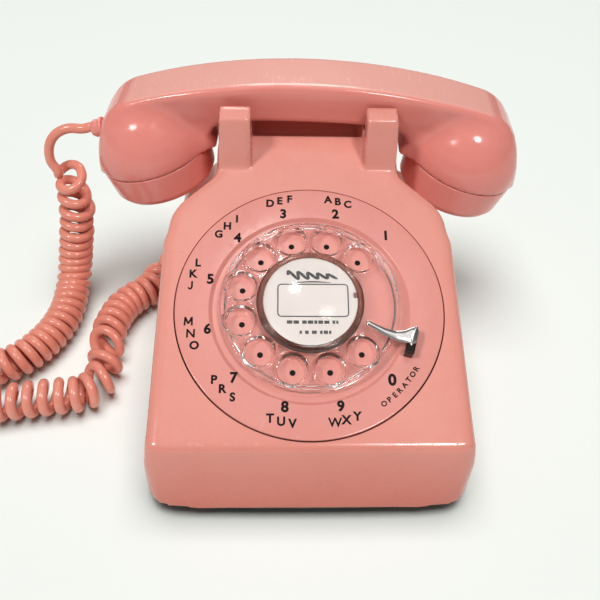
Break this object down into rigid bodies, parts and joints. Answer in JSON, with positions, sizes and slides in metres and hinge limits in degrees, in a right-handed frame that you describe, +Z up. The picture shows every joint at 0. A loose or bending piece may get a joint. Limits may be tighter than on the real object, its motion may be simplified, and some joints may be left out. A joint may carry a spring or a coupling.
{
  "type": "rotary dial desk telephone",
  "caption": "Corded desk telephone with a sloping face, a clear rotary dial, a lift-off arched handset in a pronged cradle and a coiled handset cord.",
  "frame": {"origin": "on the surface the feet stand on, under the middle of the set's footprint", "axes": "+Z up, -Y towards the user in front of the dial, +X to the user's right"},
  "size_m": [0.29, 0.212, 0.1315],
  "materials": {
    "pink_plastic": "glossy moulded plastic with fine scuffs",
    "cord_jacket": "satin vinyl jacket",
    "clear_plastic": "clear polished plastic",
    "milky_plastic": "milky translucent plastic",
    "amber_plastic": "smoky clear plastic",
    "card": "smooth printed card",
    "chrome": "polished chrome plate",
    "steel": "zinc-plated sheet and turned steel",
    "spring_steel": "blued spring strip",
    "brass": "satin brass",
    "rubber": "matt black rubber",
    "dark_plastic": "dark moulded phenolic",
    "coil_tape": "varnished cloth tape"
  },
  "bodies": {
    "set": {"housing": "pink_plastic", "baseplate": "steel", "feet": "rubber", "housing_screws": "steel", "switch_bracket": "steel", "switch_contacts": "brass", "number_plate": "pink_plastic", "finger_stop": "chrome", "dial_frame": "steel", "dial_rear_plate": "steel", "mainspring": "spring_steel", "governor_cup": "brass", "pulse_contacts": "brass", "dial_bracket": "steel", "dial_screws": "steel", "network_block": "dark_plastic", "terminal_screws": "brass", "ringer_frame": "steel", "ringer_coil": "coil_tape", "gong_low": "brass", "gong_high": "brass", "gong_screws": "steel", "housing_gland": "pink_plastic", "cord_tail_handset": "cord_jacket", "cord_coil": "cord_jacket", "cord_tail_base": "cord_jacket"},
    "finger_wheel_body": {"finger_wheel": "clear_plastic", "wheel_hub": "steel", "card_retainer": "amber_plastic", "number_card": "card", "card_window": "clear_plastic", "dial_shaft": "steel", "main_gear": "brass"},
    "pulse_shaft": {"pulse_cam": "brass", "governor_gear": "brass"},
    "governor_shaft": {"governor": "steel"},
    "buttons": {"cradle_buttons": "milky_plastic"},
    "lever": {"switch_lever": "steel"},
    "clapper": {"ringer_clapper": "steel"},
    "volume_control": {"volume_wheel": "dark_plastic"},
    "handset": {"handset_handle": "pink_plastic", "receiver_cap": "pink_plastic", "receiver_unit": "steel", "transmitter_cap": "pink_plastic", "transmitter_cup": "dark_plastic", "transmitter_unit": "steel", "handset_gland": "pink_plastic"}
  },
  "joints": [
    {"name": "finger_wheel_spin", "type": "hinge", "parent": "set", "child": "finger_wheel_body", "pos_m": [0, -0.0417, 0.069], "axis": [0, -0.3907, 0.9205], "range_deg": [-330, 0], "stiffness_Nm_per_rad": 0.012},
    {"name": "pulse_shaft_spin", "type": "hinge", "parent": "set", "child": "pulse_shaft", "pos_m": [-0.0315, -0.0417, 0.069], "axis": [0, -0.3907, 0.9205], "range_deg": [0, 1980]},
    {"name": "governor_spin", "type": "hinge", "parent": "set", "child": "governor_shaft", "pos_m": [-0.0315, -0.05781, 0.06216], "axis": [0, -0.3907, 0.9205], "range_deg": [-7920, 0]},
    {"name": "handset_lift", "type": "slide", "parent": "set", "child": "handset", "axis": [0, 0, 1], "range_m": [0, 0.15]},
    {"name": "buttons_rise", "type": "slide", "parent": "set", "child": "buttons", "axis": [0, 0, 1], "range_m": [0, 0.006]},
    {"name": "lever_tilt", "type": "hinge", "parent": "set", "child": "lever", "pos_m": [0, 0.03, 0.0732], "axis": [1, 0, 0], "range_deg": [0, 13.5]},
    {"name": "clapper_swing", "type": "hinge", "parent": "set", "child": "clapper", "pos_m": [0, 0.0516, 0.02], "axis": [0, 0, 1], "range_deg": [-6, 6]},
    {"name": "volume_turn", "type": "hinge", "parent": "set", "child": "volume_control", "pos_m": [0.046, 0.04, 0.003], "axis": [0, 0, 1], "range_deg": [-60, 60]}
  ],
  "couplings": [
    {"joint": "pulse_shaft_spin", "follows": "finger_wheel_spin", "ratio": -6},
    {"joint": "governor_spin", "follows": "finger_wheel_spin", "ratio": 24},
    {"joint": "buttons_rise", "follows": "handset_lift", "ratio": 0.04},
    {"joint": "lever_tilt", "follows": "handset_lift", "rad_per_m": 1.5708}
  ]
}
